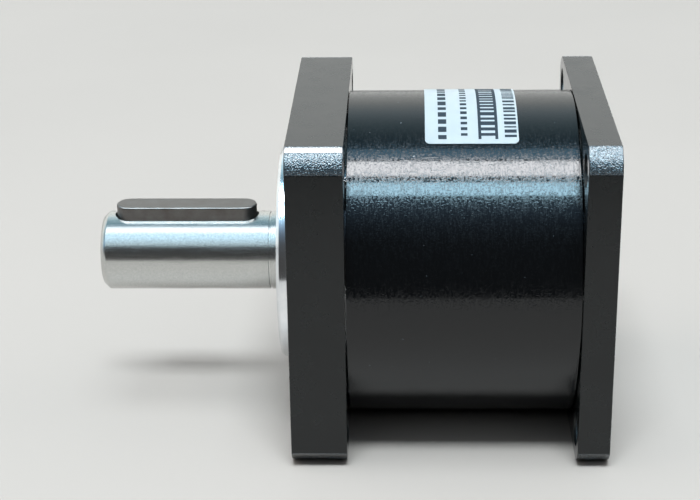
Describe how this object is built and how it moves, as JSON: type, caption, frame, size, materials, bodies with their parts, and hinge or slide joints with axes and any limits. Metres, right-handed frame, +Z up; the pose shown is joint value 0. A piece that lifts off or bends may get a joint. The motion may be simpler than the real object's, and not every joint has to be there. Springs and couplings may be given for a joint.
{
  "type": "planetary gearbox",
  "caption": "Inline planetary gearbox with square mounting flanges at both ends, a round black steel body with a small label, and a solid output shaft with a round-ended key.",
  "frame": {"origin": "middle of the bounding box in X and Y, on the surface that the flanges stand on", "axes": "+X along the gear axis from the output shaft to the motor side, +Z up, the shaft key on top"},
  "size_m": [0.0886, 0.057, 0.0571],
  "materials": {
    "black_anodised": "satin black anodised, the pilot boss turned bright",
    "black_oxide_steel": "glossy black oxide over a fine turned surface",
    "ground_steel": "bright ground steel",
    "key_steel": "drawn key steel, slightly dull",
    "bearing_steel": "polished bearing steel",
    "gear_steel": "hardened machined steel",
    "bronze": "bearing bronze",
    "black_screw": "black oxide screw steel",
    "spring_steel": "dark phosphated spring steel",
    "seal_rubber": "black nitrile rubber",
    "label_film": "pale blue-white printed film"
  },
  "bodies": {
    "housing": {"front_housing": "black_anodised", "ring_gear_body": "black_oxide_steel", "rear_flange": "black_anodised", "body_label": "label_film", "oil_seal": "seal_rubber", "o_ring_front": "seal_rubber", "o_ring_rear": "seal_rubber", "bearing_spacer": "gear_steel", "housing_circlip": "spring_steel", "front_screw_1": "black_screw", "front_screw_2": "black_screw", "front_screw_3": "black_screw", "front_screw_4": "black_screw", "rear_screw_1": "black_screw", "rear_screw_2": "black_screw", "rear_screw_3": "black_screw", "rear_screw_4": "black_screw", "front_bearing_outer_ring": "bearing_steel", "second_bearing_outer_ring": "bearing_steel", "input_bearing_outer_ring": "bearing_steel"},
    "output": {"output_carrier": "ground_steel", "carrier_rear_plate": "gear_steel", "shaft_key": "key_steel", "front_bearing_inner_ring": "bearing_steel", "second_bearing_inner_ring": "bearing_steel", "carrier_screw_1": "black_screw", "carrier_screw_2": "black_screw", "carrier_screw_3": "black_screw", "planet_pin_1": "bearing_steel", "planet_pin_2": "bearing_steel", "planet_pin_3": "bearing_steel", "thrust_washer_front_1": "bronze", "thrust_washer_front_2": "bronze", "thrust_washer_front_3": "bronze", "thrust_washer_rear_1": "bronze", "thrust_washer_rear_2": "bronze", "thrust_washer_rear_3": "bronze"},
    "input": {"sun_input_shaft": "gear_steel", "input_bearing_inner_ring": "bearing_steel"},
    "front_cage": {"front_bearing_ball_cage": "bearing_steel"},
    "second_cage": {"second_bearing_ball_cage": "bearing_steel"},
    "input_cage": {"input_bearing_ball_cage": "bearing_steel"},
    "planet_1": {"planet_gear_1": "gear_steel", "planet_bush_1": "bronze"},
    "planet_2": {"planet_gear_2": "gear_steel", "planet_bush_2": "bronze"},
    "planet_3": {"planet_gear_3": "gear_steel", "planet_bush_3": "bronze"}
  },
  "joints": [
    {"name": "output_spin", "type": "hinge", "parent": "housing", "child": "output", "pos_m": [0, 0, 0.0285], "axis": [1, 0, 0], "continuous": true},
    {"name": "input_spin", "type": "hinge", "parent": "housing", "child": "input", "pos_m": [0.033, 0, 0.0285], "axis": [1, 0, 0], "continuous": true},
    {"name": "front_cage_spin", "type": "hinge", "parent": "housing", "child": "front_cage", "pos_m": [-0.00405, 0, 0.0285], "axis": [1, 0, 0], "continuous": true},
    {"name": "second_cage_spin", "type": "hinge", "parent": "housing", "child": "second_cage", "pos_m": [0.00575, 0, 0.0285], "axis": [1, 0, 0], "continuous": true},
    {"name": "input_cage_spin", "type": "hinge", "parent": "housing", "child": "input_cage", "pos_m": [0.03875, 0, 0.0285], "axis": [1, 0, 0], "continuous": true},
    {"name": "planet_1_spin", "type": "hinge", "parent": "output", "child": "planet_1", "pos_m": [0.02345, 0, 0.042], "axis": [1, 0, 0], "continuous": true},
    {"name": "planet_2_spin", "type": "hinge", "parent": "output", "child": "planet_2", "pos_m": [0.02345, -0.01169, 0.02175], "axis": [1, 0, 0], "continuous": true},
    {"name": "planet_3_spin", "type": "hinge", "parent": "output", "child": "planet_3", "pos_m": [0.02345, 0.01169, 0.02175], "axis": [1, 0, 0], "continuous": true}
  ],
  "couplings": [
    {"joint": "input_spin", "follows": "output_spin", "ratio": 5},
    {"joint": "front_cage_spin", "follows": "output_spin", "ratio": 0.4116},
    {"joint": "second_cage_spin", "follows": "output_spin", "ratio": 0.4116},
    {"joint": "input_cage_spin", "follows": "output_spin", "ratio": 2.1061},
    {"joint": "planet_1_spin", "follows": "output_spin", "ratio": -2.6667},
    {"joint": "planet_2_spin", "follows": "output_spin", "ratio": -2.6667},
    {"joint": "planet_3_spin", "follows": "output_spin", "ratio": -2.6667}
  ]
}
